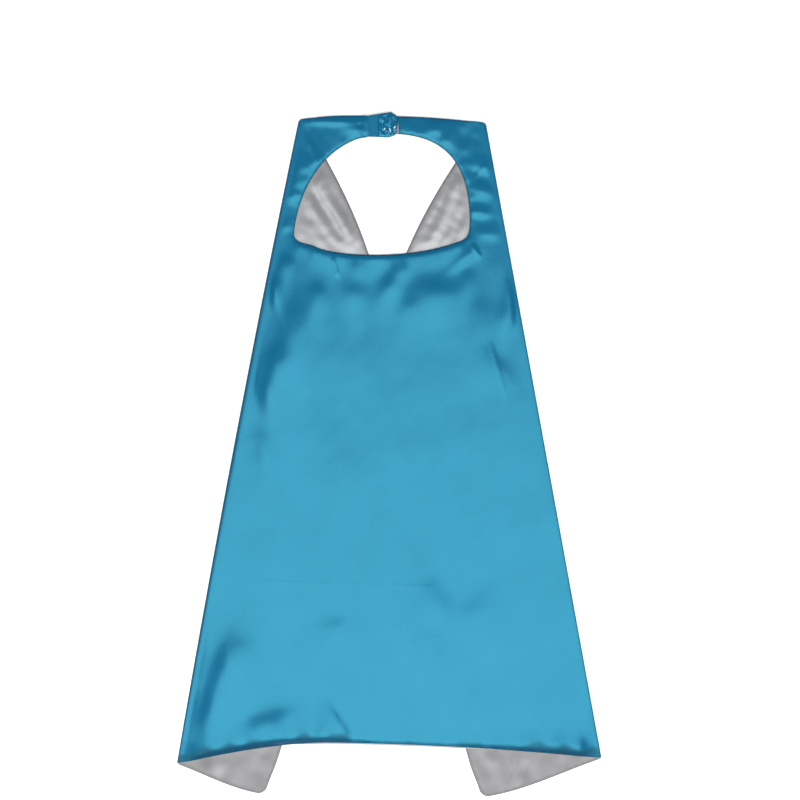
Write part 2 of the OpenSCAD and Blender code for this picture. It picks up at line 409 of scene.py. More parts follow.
def lap(xy, x, y, facing, width, height, drop, back):
    """A low wave of cloth round (x, y). It is steep on the side that it faces, in degrees from +X."""
    c, s = math.cos(math.radians(facing)), math.sin(math.radians(facing))
    ahead = (xy[:, 0] - x) * c + (xy[:, 1] - y) * s
    across = (xy[:, 1] - y) * c - (xy[:, 0] - x) * s
    fall = 1 / (1 + np.exp(np.clip(ahead / (drop / 4), -30, 30)))
    return height * fall * np.exp(-((across / width) ** 2) - (np.minimum(ahead, 0) / back) ** 2)


def crease(xy, start, end, half_width, height):
    """A narrow ridge, or a furrow where the height is negative, along a straight line."""
    start, end = np.array(start, float), np.array(end, float)
    run = end - start
    t = np.clip((xy - start) @ run / (run @ run), 0, 1)
    distance = np.linalg.norm(xy - start - np.outer(t, run), axis=1)
    ends = np.clip(4 * t * (1 - t) * 1.6 + 0.15, 0, 1)
    return height * ends * np.exp(-((distance / half_width) ** 2))


# Waves of the back: centre, way that the steep side faces, half width, height and length of the steep side
LAPS = [
    (-111, 212, 80, 8, 1.5, 12),
    (-127, 190, 100, 8, 2.6, 22),
    (-100, 156, 85, 19, 5.8, 58),
    (-122, 108, 85, 13, 3.4, 30),
    (-133, 78, 95, 12, 2.8, 28),
    (-77, 181, 80, 9, 1.8, 16),
    (-33, 207, 75, 12, 1.6, 16),
    (-38, 182, 95, 13, 2.4, 22),
    (15, 204, 55, 10, 2.2, 18),
    (6, 187, 70, 12, 1.8, 20),
    (50, 184, 92, 25, 3.8, 26),
    (26, 166, 70, 13, 1.8, 24),
    (86, 196, 80, 9, 1.3, 18),
    (136, 190, 80, 8, 2.0, 24),
    (130, 158, 78, 10, 2.0, 26),
    (104, 158, 80, 16, 1.2, 34),
    (93, 222, 40, 6, 1.2, 8),
    (-137, 20, 95, 10, 1.6, 30),
    (122, 98, 40, 26, 1.3, 14),
    (-183, -222, 158, 32, 6.6, 27),
    (-201, -276, 162, 30, 6.0, 24),
    (-136, -287, 110, 36, 6.6, 28),
    (-54, -289, 30, 20, 2.8, 9),
    (62, -164, 24, 32, 4.4, 28),
    (85, -173, 147, 30, 3.9, 28),
    (-62, -184, 100, 20, 2.8, 24),
    (44, -198, 80, 18, 3.2, 22),
]

# Sharper creases of the back: start, end, half width and height
CREASES = [
    ((-62, 214), (-56, 193), 1.8, 1.0),
    ((90, 228), (99, 214), 2.0, 0.9),
    ((110, 122), (127, 61), 2.2, 0.45),
    ((-164, -139), (50, -145), 1.6, 0.22),
]

# How far the streaks of the left and the right flap slant from +Y
FLAP_SLANTS = (math.radians(28), math.radians(-26))

# Where in Y the ring round the neck starts. How high the body stands between its edges, how much lower the
# ring stands, and how high the cloth bulges below the neckline.
RING_START = (222, 262)
BODY_PUFF = 1.5
RING_DROP = 0.6
NECK_PUFF = 1.3

# How steeply the outer layer turns down to the hem, from left to right. It also sets how wide and dark the
# painted shade band along the hem is.
HEM_STEEPNESS = (
    [-230, -200, -130, -112, -97, -80, -62, -48, -38, 66, 80, 96, 106, 116, 150, 190, 220, 230],
    [0.8, 0.95, 0.75, 0.6, 0.95, 0.6, 0.6, 0.9, 0.12, 0.12, 0.45, 0.5, 0.2, 0.5, 0.7, 1.0, 1.0, 0.5],
)

# Waves of the ring round the neck, in the same form as the back's
RING_LAPS = [
    (-64, 360, 268, 34, 1.3, 7),
    (-36, 350, 262, 12, 1.3, 8),
    (-84, 312, 300, 16, 0.9, 9),
    (-98, 292, 285, 10, 0.9, 10),
    (-104, 277, 265, 9, 1.2, 9),
    (-117, 244, 280, 12, 1.1, 9),
    (48, 349, 262, 8, 1.0, 8),
    (62, 338, 240, 9, 1.1, 9),
    (96, 310, 250, 14, 1.1, 10),
    (99, 284, 250, 10, 0.9, 9),
    (98, 260, 258, 12, 1.1, 8),
    (106, 236, 262, 12, 0.8, 9),
]

# Sharp marks on the ring, in the same form as the back's creases
RING_MARKS = [
    ((-88, 342), (-74, 305), 2.2, 0.5),
    ((-35, 359), (-28, 357), 1.2, -0.8),
    ((92, 300), (106, 316), 2.0, 0.4),
]


def beside_tape(xy):
    """Nothing at the tapes, where the cloth is sewn down flat, and one a few millimetres away from them."""
    low, high = TAPE_LOW[:2] / MM, TAPE_HIGH[:2] / MM
    away = np.maximum(low - xy, xy - high).max(axis=1)
    return soft_step(away, 0.5, 8)


def back_height(xy_m):
    """How far the back's outer layer stands above the CAD's flat one, in metres: nothing at the folds."""
    xy = xy_m / MM
    x, y = xy[:, 0], xy[:, 1]
    from_fold = from_folds(xy_m)
    from_hem, hem_at = nearest_mm(xy_m, HEM)
    from_neck, neck_at = nearest_mm(xy_m, NECK)
    from_strap, strap_at = nearest_mm(xy_m, STRAPS)

    on_ring = soft_step(y, *RING_START)
    puff = (BODY_PUFF - RING_DROP * on_ring) * soft_step(from_fold, -6, 60)
    puff += NECK_PUFF * (1 - on_ring) * np.exp(-((from_neck / 18) ** 2)) * soft_step(from_fold, 4, 30)
    puff *= (1 - 0.85 * np.exp(-from_neck / 1.3)) * (1 - 0.9 * np.exp(-from_strap / 3.5))
    puff *= 1 - np.exp(-from_hem / 14)

    steep = np.mean([np.interp(x + side, *HEM_STEEPNESS) for side in (-16, 0, 16)], axis=0)
    reach = 4 + 4 * steep
    hem_roll = (0.5 + 3.2 * steep) * (1 + 0.15 * puckers(hem_at, 34, seed=20))
    hem_roll *= from_hem / reach * np.exp(1 - from_hem / reach) * soft_step(from_fold, 0.3, 26)

    waves = np.zeros(len(xy))
    for cx, cy, facing, width, height, drop in LAPS:
        waves += lap(xy, cx, cy, facing, width, height, drop, back=max(34, 1.5 * drop))
    for cx, cy, facing, width, height, drop in RING_LAPS:
        waves += 1.5 * lap(xy, cx, cy, facing, width, height, drop, back=1.4 * drop)
    for start, end, half_width, height in CREASES + RING_MARKS:
        waves += crease(xy, start, end, half_width, height)
    waves += 0.16 * ripples(xy, 80, seed=3) + 0.03 * ripples(xy, 30, seed=5) + 0.006 * ripples(xy, 9, seed=6)
    waves += on_ring * (0.16 * ripples(xy, 30, seed=11) + 0.05 * ripples(xy, 13, seed=12))
    edge_waves = (
        (0.06 + 0.12 * steep) * np.exp(-from_hem / 8) * puckers(hem_at, 17, seed=21)
        + 0.16 * np.exp(-from_neck / 7) * puckers(neck_at, 13, seed=22)
        + 0.10 * np.exp(-from_strap / 6) * puckers(strap_at, 14, seed=23)
    )
    settled = 1 - np.exp(-np.min([from_hem / 2.5, from_neck / 1.2, from_strap / 2.5], axis=0))
    rise = soft_step(from_fold, 0.3, 9)
    height = puff * soft_step(from_fold, 0, 4) + hem_roll + (waves + edge_waves) * settled * rise
    return np.maximum(height * beside_tape(xy), -0.25) * MM


def strap_rise(xy_m):
    """The left strap's climb onto the end of the right one, in metres."""
    x, hinge = xy_m[:, 0] / MM, HINGE_X / MM
    on_left_strap = (xy_m[:, 1] > ABOVE_NECK_HOLE) & (x < hinge)
    climb = soft_step(x, hinge - 13, hinge - 2)
    return np.where(on_left_strap, climb, 0) * (END_TOP - BACK_TOP)


# ---- meshes ----

def placed(data, spot=(0, 0, 0)):
    """A new object in the scene for a mesh, a camera or a light, with its name."""
    obj = bpy.data.objects.new(data.name, data)
    obj.location = spot
    bpy.context.scene.collection.objects.link(obj)
    return obj


def piece(name, verts, faces):
    """A new smooth-shaded mesh object."""
    mesh = bpy.data.meshes.new(name)
    mesh.from_pydata([tuple(v) for v in verts], [], [tuple(f) for f in faces])
    mesh.update()
    mesh.polygons.foreach_set("use_smooth", [True] * len(mesh.polygons))
    return placed(mesh)


def edges_of(triangles):
    """The directed edges of all the triangles."""
    return {(t[i], t[(i + 1) % 3]) for t in triangles.tolist() for i in range(3)}


def fill(loop, spacing, rows=()):
    """Even triangles inside an outline, with extra points along the given rows. Returns 2-D points, triangles
    and the numbers of the points round the outline, in order."""
    low, high = loop.min(axis=0), loop.max(axis=0)
    lines = np.arange(low[1], high[1], spacing * math.sqrt(3) / 2)
    across = np.arange(low[0], high[0], spacing)
    grid = np.concatenate([
        np.column_stack([across + spacing / 2 * (i % 2), np.full(len(across), y)])
        for i, y in enumerate(lines)
    ])
    grid = grid[inside(grid, loop)]
    kept = np.concatenate([loop, *rows])
    grid = grid[nearest(grid, kept)[0] > GRID_CLEARANCE * spacing]
    points = np.concatenate([kept, grid])
    verts, _, faces, _, _, _ = delaunay_2d_cdt(
        [Vector(p) for p in points], [], [list(range(len(loop)))], 1, 1e-7, True
    )
    flat = np.array([tuple(v) for v in verts])
    triangles = np.array([f for f in faces if len(f) == 3])
    triangles = triangles[inside(flat[triangles].mean(axis=1), loop)]
    a, b, c = (flat[triangles[:, i]] for i in range(3))
    thin = (b - a)[:, 0] * (c - a)[:, 1] - (b - a)[:, 1] * (c - a)[:, 0] < 2 * SLIVER_AREA
    edges = edges_of(triangles)
    loose = [
        i for i in np.flatnonzero(thin)
        if any((v, u) not in edges for u, v in edges_of(triangles[i : i + 1]))
    ]
    triangles = np.delete(triangles, loose, axis=0)
    return flat, triangles, longest_loop(edges_of(triangles))


def turn_rows(outline, fold, reach, spacing):
    """Rows of points that follow a fold, so that the cloth turns round it smoothly."""
    along, inward_by = fold.split(outline)
    along = along[inward_by < NEAR - reach]
    t = np.arange(along.min() + spacing, along.max() - spacing / 2, spacing)
    return [
        fold.foot + np.outer(t, fold.along) - fold.inward * (reach * k / TURN_ROWS) for k in range(TURN_ROWS)
    ]


def fold_bow(fold, along):
    """How far the left fold's edge bows out from the line between its ends. The right one is straight."""
    if fold is RIGHT_FOLD:
        return 0
    up_along, inward_by = fold.split(FINE_BACK)
    top = up_along[inward_by < FOLD_REACH].max()
    return FOLD_BOW * np.sin(math.pi * np.clip(along / top, 0, 1)) ** 0.8


def turn_round(xyz, radius, sign):
    """Turns what lies past a fold's axis down round it where sign is 1, or up round it where sign is -1."""
    for fold in FOLDS:
        along, inward_by = fold.split(xyz[:, :2])
        past = inward_by < 0
        angle = np.clip(-inward_by[past] / radius, 0, math.pi / 2)
        out = (radius + fold_bow(fold, along[past])) * np.sin(angle)
        xyz[past, :2] += np.outer(-inward_by[past] - out, fold.inward)
        xyz[past, 2] = fold.z + sign * radius * np.cos(angle)
    return xyz


def rolled(verts, triangles, rim, free, out, sign, rise=ROLL_R, peek=0):
    """Adds a rolled edge along the free part of a sheet's rim. It curls down where sign is 1, and up where it
    is -1. Peek is how much further out it comes at each point."""
    loop = verts[rim]
    normal = outward(loop[:, :2])
    widths = np.full(len(rim), out) + peek
    new_verts, new_faces = [verts], []
    before = np.array(rim)
    count = len(verts)
    for step in range(1, ROLL_STEPS + 1):
        angle = ROLL_TURN * step / ROLL_STEPS
        ring = loop.copy()
        ring[:, :2] += normal * (widths * math.sin(angle) ** 0.8)[:, None]
        ring[:, 2] -= sign * rise * (1 - math.cos(angle))
        ring = ring[free]
        number = np.full(len(rim), -1)
        number[free] = count + np.arange(free.sum())
        count += len(ring)
        new_verts.append(ring)
        for i in range(len(rim)):
            j = (i + 1) % len(rim)
            if free[i] and free[j]:
                new_faces.append((before[i], number[i], number[j]))
                new_faces.append((before[i], number[j], before[j]))
        before = np.where(free, number, before)
    return np.concatenate(new_verts), np.concatenate([triangles, new_faces])


def folded_sheet(outline, folds, turn_r, edge_spacing, spacing, height, sign):
    """A sheet with the given heights whose sides turn round folds. Returns its points, its triangles, the
    numbers of the points round its rim, where those lie while the sheet is flat, and which are on no fold."""
    reach = turn_r * math.pi / 2
    loop = even_outline(outline(reach), edge_spacing)
    rows = [row for fold in folds for row in turn_rows(loop, fold, reach, edge_spacing)]
    flat, triangles, rim = fill(loop, spacing, rows)
    verts = turn_round(np.column_stack([flat, height(flat)]), turn_r, sign)
    free = ~np.any([fold.split(flat[rim])[1] < -NEAR for fold in folds], axis=0)
    return verts, triangles, rim, flat[rim], free


def shade_edges(obj, amount):
    """Stores how much painted shade each point of a cloth piece takes, from a function of the points' X and
    Y.
    """
    xy = np.array([v.co[:2] for v in obj.data.vertices])
    shade = obj.data.attributes.new("shade", "FLOAT", "POINT")
    shade.data.foreach_set("value", amount(xy).astype(np.float32))


# ---- materials ----

# Painted shade along the cloth's edges: where the shade attribute rises, the satin darkens and its roughness
# rises to this, which dulls the gloss
SHADE_ROUGHNESS = 0.6
GLOSS_SPREAD = 0.035
# How much painted shade the flaps' lining takes below the hem, where it would otherwise stand too bright
FLAP_HEM_SHADE = 0.68

# How the satin's threads and its cloudy tone are stretched along X, Y and Z
WARP_SCALE = (1900, 90, 900)
WEFT_SCALE = (70, 1600, 900)
CLOUD_SCALE = (1, 0.8, 1)


def node_material(name):
    """A new material, its node tree and its shader."""
    material = bpy.data.materials.new(name)
    material.use_nodes = True
    return material, material.node_tree, material.node_tree.nodes["Principled BSDF"]


def fit(tree, node, **values):
    """Gives a shader node its settings and inputs. An input takes a value or another node's output, and an
    underscore stands for a space in its name."""
    for key, value in values.items():
        name = key.replace("_", " ")
        if name not in node.inputs:
            setattr(node, key, value)
        elif isinstance(value, bpy.types.NodeSocket):
            tree.links.new(value, node.inputs[name])
        else:
            node.inputs[name].default_value = value


def put(tree, kind, output, **values):
    """The named output of a new shader node with the given settings and inputs."""
    node = tree.nodes.new("ShaderNode" + kind)
    fit(tree, node, **values)
    return node.outputs[output]


def stretched(tree, scale):
    """The piece's own coordinates, stretched along its axes."""
    return put(tree, "Mapping", "Vector", Scale=scale, Vector=put(tree, "TexCoord", "Object"))


def ramp(tree, factor, *stops):
    """A ramp between two colours, each given with its place, at the factor."""
    node = tree.nodes.new("ShaderNodeValToRGB")
    for element, (place, colour) in zip(node.color_ramp.elements, stops):
        element.position = place
        element.color = (*colour, 1)
    fit(tree, node, Fac=factor)
    return node.outputs["Color"]


def satin(name, dark, light, shade_colour, roughness, gloss_level, gloss_tint):
    """Satin weave: fine floats along the cloth, a crosswise weft between them, and slight changes of tone and
    gloss. Where the piece's shade attribute rises, as along its edges, painted shade darkens it towards
    shade_colour and dulls its gloss."""
    material, tree, shader = node_material(name)
    warp, weft, cloud = (
        put(tree, "TexNoise", "Fac", Scale=size, Detail=detail, Roughness=rough, Vector=stretched(tree, axes))
        for size, detail, rough, axes in (
            (1.0, 3.0, 0.6, WARP_SCALE), (1.0, 3.0, 0.6, WEFT_SCALE), (22.0, 5.0, 0.55, CLOUD_SCALE)
        )
    )
    threads = put(tree, "Mix", "Result", data_type="FLOAT", Factor=0.45, A=warp, B=weft)
    tone = put(tree, "Mix", "Result", data_type="FLOAT", Factor=0.42, A=threads, B=cloud)

    # Painted shade: the shade attribute darkens the colour and dulls the gloss
    edge = put(tree, "Attribute", "Fac", attribute_name="shade")
    colour = ramp(tree, tone, (0.3, dark), (0.7, light))
    colour = put(tree, "Mix", "Result", data_type="RGBA", Factor=edge, A=colour, B=(*shade_colour, 1))
    gloss = put(
        tree, "MapRange", "Result", Value=tone, From_Min=0.3, From_Max=0.7,
        To_Min=roughness + GLOSS_SPREAD, To_Max=roughness - GLOSS_SPREAD,
    )
    gloss = put(tree, "Mix", "Result", data_type="FLOAT", Factor=edge, A=gloss, B=SHADE_ROUGHNESS)
    weave = put(tree, "Bump", "Normal", Strength=0.10, Distance=0.12 * MM, Height=threads)
    fit(
        tree, shader, Base_Color=colour, Roughness=gloss, Normal=weave, Specular_IOR_Level=gloss_level,
        Specular_Tint=(*gloss_tint, 1), Sheen_Weight=0.02, Sheen_Roughness=0.4,
    )
    return material


def tape_fabric(name, dark, light, roughness):
    """Woven nylon tape with a fine basket pattern."""
    material, tree, shader = node_material(name)
    place = stretched(tree, (1, 1, 1))
    basket = tree.nodes.new("ShaderNodeMath")
    basket.operation = "MAXIMUM"
    for axis, socket in zip("XY", basket.inputs):
        wave = put(tree, "TexWave", "Fac", Scale=900.0, Distortion=0.6, bands_direction=axis, Vector=place)
        tree.links.new(wave, socket)
    weave = basket.outputs["Value"]
    bump = put(tree, "Bump", "Normal", Strength=0.5, Distance=0.1 * MM, Height=weave)
    colour = ramp(tree, weave, (0.2, dark), (0.9, light))
    fit(tree, shader, Base_Color=colour, Normal=bump, Roughness=roughness)
    return material


def thread_material(name, dark, light):
    """Twisted polyester sewing thread."""
    material, tree, shader = node_material(name)
    twist = put(
        tree, "TexWave", "Fac", Scale=1400.0, Distortion=1.5, bands_direction="DIAGONAL",
        Vector=stretched(tree, (1, 1, 1)),
    )
    colour = ramp(tree, twist, (0.2, dark), (0.8, light))
    fit(tree, shader, Base_Color=colour, Roughness=0.45, Sheen_Weight=0.2)
    return material


def floor_material():
    """Plain pale paper with hardly any tone."""
    material, tree, shader = node_material("floor_paper")
    grain = put(tree, "TexNoise", "Fac", Scale=4.0, Detail=2.0)
    colour = ramp(tree, grain, (0, (0.95, 0.95, 0.95)), (1, (0.97, 0.97, 0.97)))
    fit(tree, shader, Base_Color=colour, Roughness=0.9, Specular_IOR_Level=0.0)
    return material


BLUE_GLOSS = (0.17, 0.83, 0.99)
SILVER_GLOSS = (0.96, 0.97, 1.0)
# Dark colours that stand in for painted shade along the edges
BLUE_SHADE = (0.0015, 0.022, 0.056)
SILVER_SHADE = (0.060, 0.054, 0.056)
OUTER_SATIN = satin(
    "outer_satin", (0.0022, 0.074, 0.160), (0.0032, 0.093, 0.196), BLUE_SHADE, 0.27, 0.67, BLUE_GLOSS
)
LINING_SATIN = satin(
    "lining_satin", (0.118, 0.119, 0.124), (0.218, 0.220, 0.226), SILVER_SHADE, 0.28, 1.0, SILVER_GLOSS
)
SEAM_SATIN = satin(
    "seam_satin", (0.003, 0.066, 0.130), (0.005, 0.082, 0.160), BLUE_SHADE, 0.4, 0.3, BLUE_GLOSS
)
LOOP_PILE = tape_fabric("loop_pile", (0.52, 0.53, 0.54), (0.80, 0.81, 0.82), 0.8)
HOOK_NYLON = tape_fabric("hook_nylon", (0.50, 0.52, 0.53), (0.78, 0.80, 0.82), 0.35)
THREAD = thread_material("sewing_thread", (0.010, 0.10, 0.18), (0.02, 0.16, 0.27))
WHITE_THREAD = thread_material("white_thread", (0.62, 0.62, 0.64), (0.85, 0.85, 0.86))


# ---- seams, thread and tapes ----

def loft(rings):
    """A closed solid through rings of points, as vertices and faces."""
    count, sides = rings.shape[:2]
    faces = [tuple(range(sides))[::-1]]
    for i in range(count - 1):
        for j in range(sides):
            k = (j + 1) % sides
            faces.append((i * sides + j, i * sides + k, (i + 1) * sides + k, (i + 1) * sides + j))
    faces.append(tuple((count - 1) * sides + j for j in range(sides)))
    return rings.reshape(-1, 3), faces


def tube(path, radii, across, sides=6):
    """A tube along a path that bends only square to the given direction."""
    run = np.gradient(path, axis=0)
    run /= np.linalg.norm(run, axis=1)[:, None]
    across = unit(across)
    angle = np.linspace(0, 2 * math.pi, sides, endpoint=False)
    cos, sin = np.cos(angle)[None, :, None], np.sin(angle)[None, :, None]
    side = cos * across + sin * np.cross(run, across)[:, None]
    return loft(path[:, None] + np.asarray(radii)[:, None, None] * side)


def merged(parts):
    """Several meshes as one."""
    verts, faces, count = [], [], 0
    for part_verts, part_faces in parts:
        verts.append(part_verts)
        faces += [tuple(i + count for i in face) for face in part_faces]
        count += len(part_verts)
    return np.concatenate(verts), faces


def stitches(path, radius, dip):
    """A row of stitches along a line of points, each of which sinks into the cloth at both ends."""
    run = np.concatenate([[0], np.cumsum(np.linalg.norm(np.diff(path, axis=0), axis=1))])
    parts = []
    for start in np.arange(STITCH_SPACE / 2, run[-1] - STITCH, STITCH + STITCH_SPACE):
        at = start + STITCH * np.array([0, 0.2, 0.5, 0.8, 1])
        points = np.column_stack([np.interp(at, run, path[:, axis]) for axis in range(3)])
        points[:, 2] -= dip * np.array([1, 0.3, 0, 0.3, 1])
        radii = radius * np.array([0.4, 1, 1.1, 1, 0.4])
        parts.append(tube(points, radii, np.cross(points[-1] - points[0], (0, 0, 1))))
    return parts


def make_seam(name, outline, stretches, height):
    """The seam allowance turned in along stretches of an outline, and the row of thread that holds it."""
    normal = outward(outline)
    strips, rows = [], []
    for numbers in stretches:
        path, out = outline[numbers], normal[numbers]
        insets = [path - out * inset for inset in SEAM_INSETS]
        top = [np.column_stack([xy, height(xy) + SEAM_HALF]) for xy in insets]
        under = [verts - (0, 0, 2 * SEAM_HALF) for verts in top[::-1]]
        strips.append(loft(np.stack(top + under, axis=1)))
        sewn = path - out * SEAM_THREAD_IN
        rows += stitches(np.column_stack([sewn, height(sewn) + SEAM_HALF]), SEAM_THREAD_R, SEAM_DIP)
    return piece(name + "_seam_allowance", *merged(strips)), piece(name + "_seam_thread", *merged(rows))


def tape_base(z):
    """A tape's woven base, with round corners and slightly rounded edges."""
    corners = []
    for quarter, (x, y) in enumerate([(1, 1), (0, 1), (0, 0), (1, 0)]):
        angle = np.radians(90 * quarter + np.linspace(0, 90, 6))
        middle = np.where([x, y], TAPE_HIGH[:2] - TAPE_CORNER_R, TAPE_LOW[:2] + TAPE_CORNER_R)
        corners.append((middle, np.column_stack([np.cos(angle), np.sin(angle)])))
    rings = []
    for share, inset in ((0, TAPE_EDGE_R), (0.3, 0), (0.7, 0), (1, TAPE_EDGE_R)):
        ring = np.concatenate([middle + (TAPE_CORNER_R - inset) * way for middle, way in corners])
        rings.append(np.column_stack([ring, np.full(len(ring), z + share * TAPE_BASE)]))
    return loft(np.array(rings))


def hook_spots():
    """The feet of the hooks, in rows on the tape."""
    x = np.arange(TAPE_LOW[0] + HOOK_MARGIN, TAPE_HIGH[0] - HOOK_MARGIN, HOOK_PITCH)
    y = np.arange(TAPE_LOW[1] + HOOK_MARGIN, TAPE_HIGH[1] - HOOK_MARGIN, HOOK_PITCH)
    return [(a, b) for b in y for a in x]


def make_hook_tape():
    """The hook tape under the strap's end: a grid of small hooks that open to the left and right in turn."""
    low, high = (corner.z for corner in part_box("hook_tape"))
    base = high - TAPE_BASE
    drop = base - low
    profile = np.array([(0, 0.1), (0, -0.4), (0.06, -0.75), (0.3, -0.97), (0.55, -0.85), (0.62, -0.6)]) * drop
    parts = [tape_base(base)]
    for number, (x, y) in enumerate(hook_spots()):
        way = 1 if number % 2 else -1
        path = np.column_stack([x + way * profile[:, 0], np.full(len(profile), y), base + profile[:, 1]])
        parts.append(tube(path, HOOK_R * np.array([1.2, 1, 1, 1, 0.9, 0.6]), (0, 1, 0), 5))
    return piece("hook_tape_hooks", *merged(parts))


def make_loop_tape():
    """The loop tape on the right strap: a soft pile of small loops that lean every way."""
    low, high = (corner.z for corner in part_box("loop_tape"))
    rng = np.random.default_rng(90)
    parts = [tape_base(low)]
    turn = np.linspace(0, math.pi, 6)
    for _ in range(PILE_COUNT):
        foot = rng.uniform(TAPE_LOW[:2] + PILE_MARGIN, TAPE_HIGH[:2] - PILE_MARGIN)
        heading = rng.uniform(0, 2 * math.pi)
        way = np.array([math.cos(heading), math.sin(heading)])
        width = rng.uniform(0.3, 0.5) * MM
        tall = (high - low - TAPE_BASE - PILE_R) * rng.uniform(0.75, 1)
        xy = foot + np.outer(-np.cos(turn) * width, way)
        path = np.column_stack([xy, low + TAPE_BASE + tall * np.sin(turn)])
        parts.append(tube(path, np.full(len(turn), PILE_R), (-way[1], way[0], 0), 4))
    return piece("loop_tape_pile", *merged(parts))


def make_box_stitches(tape, height):
    """The box of stitches just inside a tape's outline, at the given heights."""
    x0, y0 = TAPE_LOW[:2] + BOX_STITCH_IN
    x1, y1 = TAPE_HIGH[:2] - BOX_STITCH_IN
    corners = [(x0, y0), (x1, y0), (x1, y1), (x0, y1)]
    rows = []
    for start, end in zip(corners, corners[1:] + corners[:1]):
        xy = np.array(start) + np.outer(np.linspace(0, 1, 60), np.subtract(end, start))
        rows += stitches(np.column_stack([xy, height(xy)]), BOX_THREAD_R, BOX_DIP)
    return piece(tape + "_box_stitches", *merged(rows))


# ---- the strap's end ----

def end_height(xy_m):
    """How far the strap's end stands above the CAD's flat one. It is crumpled over the tape."""
    xy = xy_m / MM
    x, y = xy[:, 0], xy[:, 1]
    from_edge = nearest_mm(xy_m, END_EDGE)[0]
    crumple = 0.8 + 0.40 * ripples(xy, 7, seed=71, stretch=(0.7, 1.3)) + 0.15 * ripples(xy, 3.4, seed=72)
    crumple *= soft_step(x, -12.5, -8.5) * (1 - np.exp(-from_edge / 1.2))
    ridge = 0.7 * np.exp(-(((x + 10.5) / 1.6) ** 2))
    lifted = 1.2 * soft_step(x, 1, 9) * soft_step(-y, -366, -352)
    return (np.maximum(crumple + ridge, 0) + lifted) * MM


def end_shade(xy):
    """The painted shade along the end's edge: a dark line."""
    from_edge = nearest_mm(xy, END_EDGE)[0]
    return 0.75 * (1 - soft_step(from_edge, 0.2, 1.1))


def make_strap_end():
    """The two layers of the strap's end. The lining shows past the lower half of its tip."""
    sheets = []
    for name, pulled_back, under, share, sign, out, peek in (
        ("strap_end_outer_cloth", TIP_PEEK, END_TOP, 1, 1, END_ROLL_R, 0),
        ("strap_end_lining_cloth", 0, END_UNDER + 0.05 * MM, 0.3, -1, END_LINING_ROLL_OUT, TIP_PEEK / 2),
    ):
        flat, triangles, rim = fill(even_outline(strap_end_outline(pulled_back), END_SPACING), END_SPACING)
        x, y = flat[rim].T / MM
        free = flat[rim, 0] > END_START_X + NEAR
        low_tip = soft_step(x, 8, 8.8) * soft_step(y, 348, 350) * soft_step(-y, -364, -356)
        verts = np.column_stack([flat, under + share * end_height(flat)])
        verts, faces = rolled(verts, triangles, rim, free, out, sign, END_ROLL_R, peek * low_tip)
        sheets.append(piece(name, verts, faces))
    shade_edges(sheets[0], end_shade)
    return sheets


# White ends of the tape's thread that show in the strap end's puckers: middle in mm and slant in degrees
THREAD_ENDS = [((-5.3, 353.6), 48), ((1.2, 351.6), 85), ((0.6, 353.6), 105), ((5.8, 355.4), 68)]
THREAD_END_R = 0.2 * MM
THREAD_END_PITCH = 0.32 * MM


def make_thread_ends():
    """The tape's white thread where it comes through the strap's end, in short bundles."""
    parts = []
    for (x, y), slant in THREAD_ENDS:
        way = np.array([math.cos(math.radians(slant)), math.sin(math.radians(slant))])
        beside = np.array([-way[1], way[0]])
        for lane in (-1, 0, 1):
            half = (2.0 - 0.6 * abs(lane)) * MM
            middle = np.array([x, y]) * MM + beside * lane * THREAD_END_PITCH
            xy = middle + np.outer(np.linspace(-half, half, 7), way)
            z = END_TOP + end_height(xy) + 0.12 * MM - 0.35 * MM * np.linspace(-1, 1, 7) ** 4
            radii = THREAD_END_R * np.array([0.5, 0.9, 1, 1, 1, 0.9, 0.5])
            parts.append(tube(np.column_stack([xy, z]), radii, (*beside, 0)))
    return piece("hook_tape_thread_ends", *merged(parts))


# ---- the back ----

def at_step(xy):
    """Which points are on the cut where the left strap meets its end, which carries the same cloth on."""
    return (np.abs(xy[:, 0] - END_START_X) < NEAR) & (xy[:, 1] > ABOVE_NECK_HOLE)


def back_shade(xy_m):
    """The back's painted shade: a fine dark line round the neck and the straps, a puckered dark band at the
    hem and a darker strip beside the folds.
    """
    from_hem, hem_at = nearest_mm(xy_m, HEM)
    from_neck, neck_at = nearest_mm(xy_m, NECK)
    from_strap = nearest_mm(xy_m, STRAPS)[0]
    steep = np.interp(xy_m[:, 0] / MM, *HEM_STEEPNESS)
    wavy = np.clip(puckers(hem_at, 42, seed=31), -1.5, 2)
    reach = 1.5 + 9.0 * steep * (1 + 0.22 * wavy)
    band = (0.15 + 0.72 * steep) * (1 - soft_step(from_hem, 0.6 * reach, 1.3 * reach))
    line = 0.85 * (1 - soft_step(from_hem, 1.0, 1.8 + 3.6 * steep))
    neck_reach = 1.5 + 0.35 * np.clip(puckers(neck_at, 12, seed=32), -2, 3)
    neck = 0.85 * (1 - soft_step(from_neck, 0.4, neck_reach))
    strap = 0.75 * (1 - soft_step(from_strap, 0.3, 1.3))
    beside_fold = 0.5 * (1 - soft_step(from_folds(xy_m), -1.5, 0.5))
    return np.clip(np.max([band, line, neck, strap, beside_fold], axis=0), 0, 1)


def back_z(drop, share):
    """The height of a layer of the back as a function of X and Y: a drop below the outer layer, with a share
    of its waves."""
    return lambda xy: BACK_TOP - drop + share * back_height(xy) + strap_rise(xy)


def make_back_outer():
    """The blue layer. Its edge is rolled down everywhere but at the folds and at the strap's cut."""
    verts, triangles, rim, rim_xy, free = folded_sheet(
        back_outline, FOLDS, TURN_R, EDGE_SPACING, OUTER_SPACING, back_z(0, 1), 1
    )
    cloth = piece("back_outer_cloth", *rolled(verts, triangles, rim, free & ~at_step(rim_xy), ROLL_R, 1))
    shade_edges(cloth, back_shade)
    return cloth


